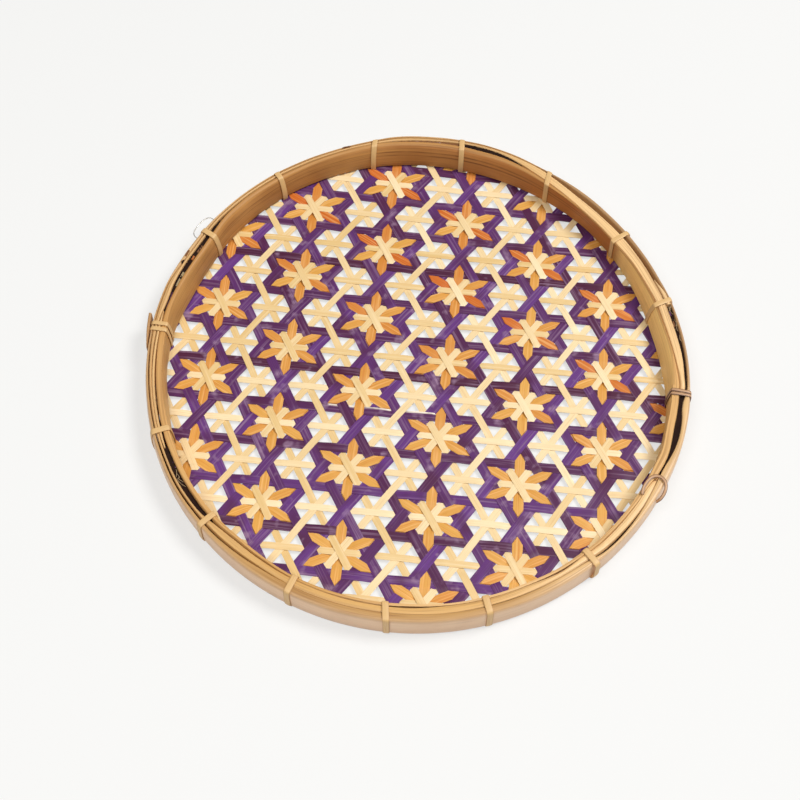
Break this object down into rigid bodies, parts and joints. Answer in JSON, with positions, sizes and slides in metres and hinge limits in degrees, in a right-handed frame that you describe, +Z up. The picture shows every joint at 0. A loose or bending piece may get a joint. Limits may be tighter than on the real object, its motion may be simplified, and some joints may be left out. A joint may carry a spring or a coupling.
{
  "type": "hanging wall basket",
  "caption": "Round shallow bamboo wall basket: a flat mat woven in a star flower pattern, held between two bent hoops by narrow ties, with a wire loop to hang it by.",
  "frame": {"origin": "middle of the rim's flat underside", "axes": "+Z up out of the open side of the tray, +Y towards the far side of the rim, away from the viewer of the picture, +X to the right"},
  "size_m": [0.2937, 0.3067, 0.0187],
  "materials": {
    "outer_hoop": "split bamboo, two-tone, light varnish",
    "inner_hoop": "split bamboo, light varnish",
    "filler_slat": "thin split bamboo, untreated",
    "strip_ends": "dyed split bamboo ends",
    "purple_strip": "split bamboo, dyed purple, satin",
    "cream_strip": "split bamboo, natural, satin",
    "orange_strip": "split bamboo, dyed orange, satin",
    "tie": "split rattan, natural",
    "wire": "thin galvanised wire"
  },
  "bodies": {
    "root": {"cream_strips_1": "cream_strip", "cream_strips_2": "cream_strip", "cream_strips_3": "cream_strip", "filler_slat_left": "filler_slat", "filler_slat_right": "filler_slat", "hanging_loop": "wire", "inner_hoop": "inner_hoop", "orange_strips": "orange_strip", "outer_hoop": "outer_hoop", "purple_strip_a01": "purple_strip", "purple_strip_a02": "purple_strip", "purple_strip_a03": "purple_strip", "purple_strip_a04": "purple_strip", "purple_strip_a05": "purple_strip", "purple_strip_a06": "purple_strip", "purple_strip_a07": "purple_strip", "purple_strip_a08": "purple_strip", "purple_strip_a09": "purple_strip", "purple_strip_a10": "purple_strip", "purple_strip_a11": "purple_strip", "purple_strip_a12": "purple_strip", "purple_strip_b01": "purple_strip", "purple_strip_b02": "purple_strip", "purple_strip_b03": "purple_strip", "purple_strip_b04": "purple_strip", "purple_strip_b05": "purple_strip", "purple_strip_b06": "purple_strip", "purple_strip_b07": "purple_strip", "purple_strip_b08": "purple_strip", "purple_strip_b09": "purple_strip", "purple_strip_b10": "purple_strip", "purple_strip_b11": "purple_strip", "purple_strip_c01": "purple_strip", "purple_strip_c02": "purple_strip", "purple_strip_c03": "purple_strip", "purple_strip_c04": "purple_strip", "purple_strip_c05": "purple_strip", "purple_strip_c06": "purple_strip", "purple_strip_c07": "purple_strip", "purple_strip_c08": "purple_strip", "purple_strip_c09": "purple_strip", "purple_strip_c10": "purple_strip", "purple_strip_c11": "purple_strip", "strip_ends_band": "strip_ends", "tie_01": "tie", "tie_02": "tie", "tie_03": "tie", "tie_04": "tie", "tie_05": "tie", "tie_06": "tie", "tie_07": "tie", "tie_08": "tie", "tie_09": "tie", "tie_10": "tie", "tie_11": "tie", "tie_12": "tie", "tie_13": "tie", "tie_14": "tie", "tie_15": "tie", "tie_16": "tie"}
  },
  "joints": []
}
